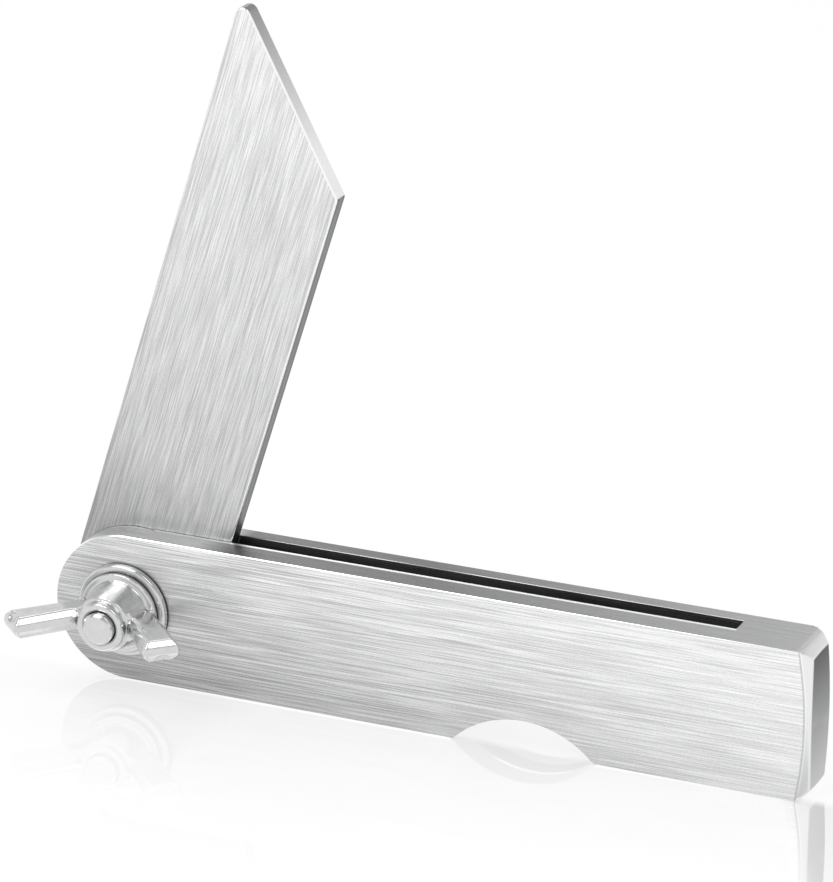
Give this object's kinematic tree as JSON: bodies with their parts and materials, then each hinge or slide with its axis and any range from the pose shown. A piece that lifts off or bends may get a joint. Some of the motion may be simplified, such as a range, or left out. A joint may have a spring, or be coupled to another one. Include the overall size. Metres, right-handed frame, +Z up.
{
  "type": "bevel gauge",
  "caption": "Steel bevel gauge: a slotted stock with a finger notch, a flat blade that turns on a clamp bolt and folds into the slot, and a wing nut that locks it at an angle.",
  "frame": {"origin": "middle of the footprint of the tool's box, on the plane that the stock's long edge stands on", "axes": "+X along the stock from its round pivot end to its square end, +Y from the wing nut towards the bolt's head, +Z up from the stock's bottom edge"},
  "size_m": [0.1486, 0.032, 0.1275],
  "materials": {
    "stock_steel": "satin, brushed along the stock",
    "blade_steel": "satin, brushed along the blade",
    "bolt_zinc": "bright zinc plate",
    "washer_zinc": "bright zinc plate",
    "nut_zinc": "bright zinc plate over a cast surface"
  },
  "bodies": {
    "stock": {"stock": "stock_steel", "clamp_bolt": "bolt_zinc"},
    "blade": {"blade": "blade_steel"},
    "washer": {"washer": "washer_zinc"},
    "wing_nut": {"wing_nut": "nut_zinc"}
  },
  "joints": [
    {"name": "blade_pivot", "type": "hinge", "parent": "stock", "child": "blade", "pos_m": [-0.0567, 0.00874, 0.014], "axis": [0, -1, 0], "continuous": true},
    {"name": "washer_travel", "type": "slide", "parent": "stock", "child": "washer", "axis": [0, -1, 0], "range_m": [0, 0.0015]},
    {"name": "wing_nut_turn", "type": "hinge", "parent": "washer", "child": "wing_nut", "pos_m": [-0.0567, -0.00001, 0.014], "axis": [0, -1, 0], "range_deg": [0, 540]}
  ],
  "couplings": [
    {"joint": "washer_travel", "follows": "wing_nut_turn", "m_per_rad": 0.00015915}
  ]
}
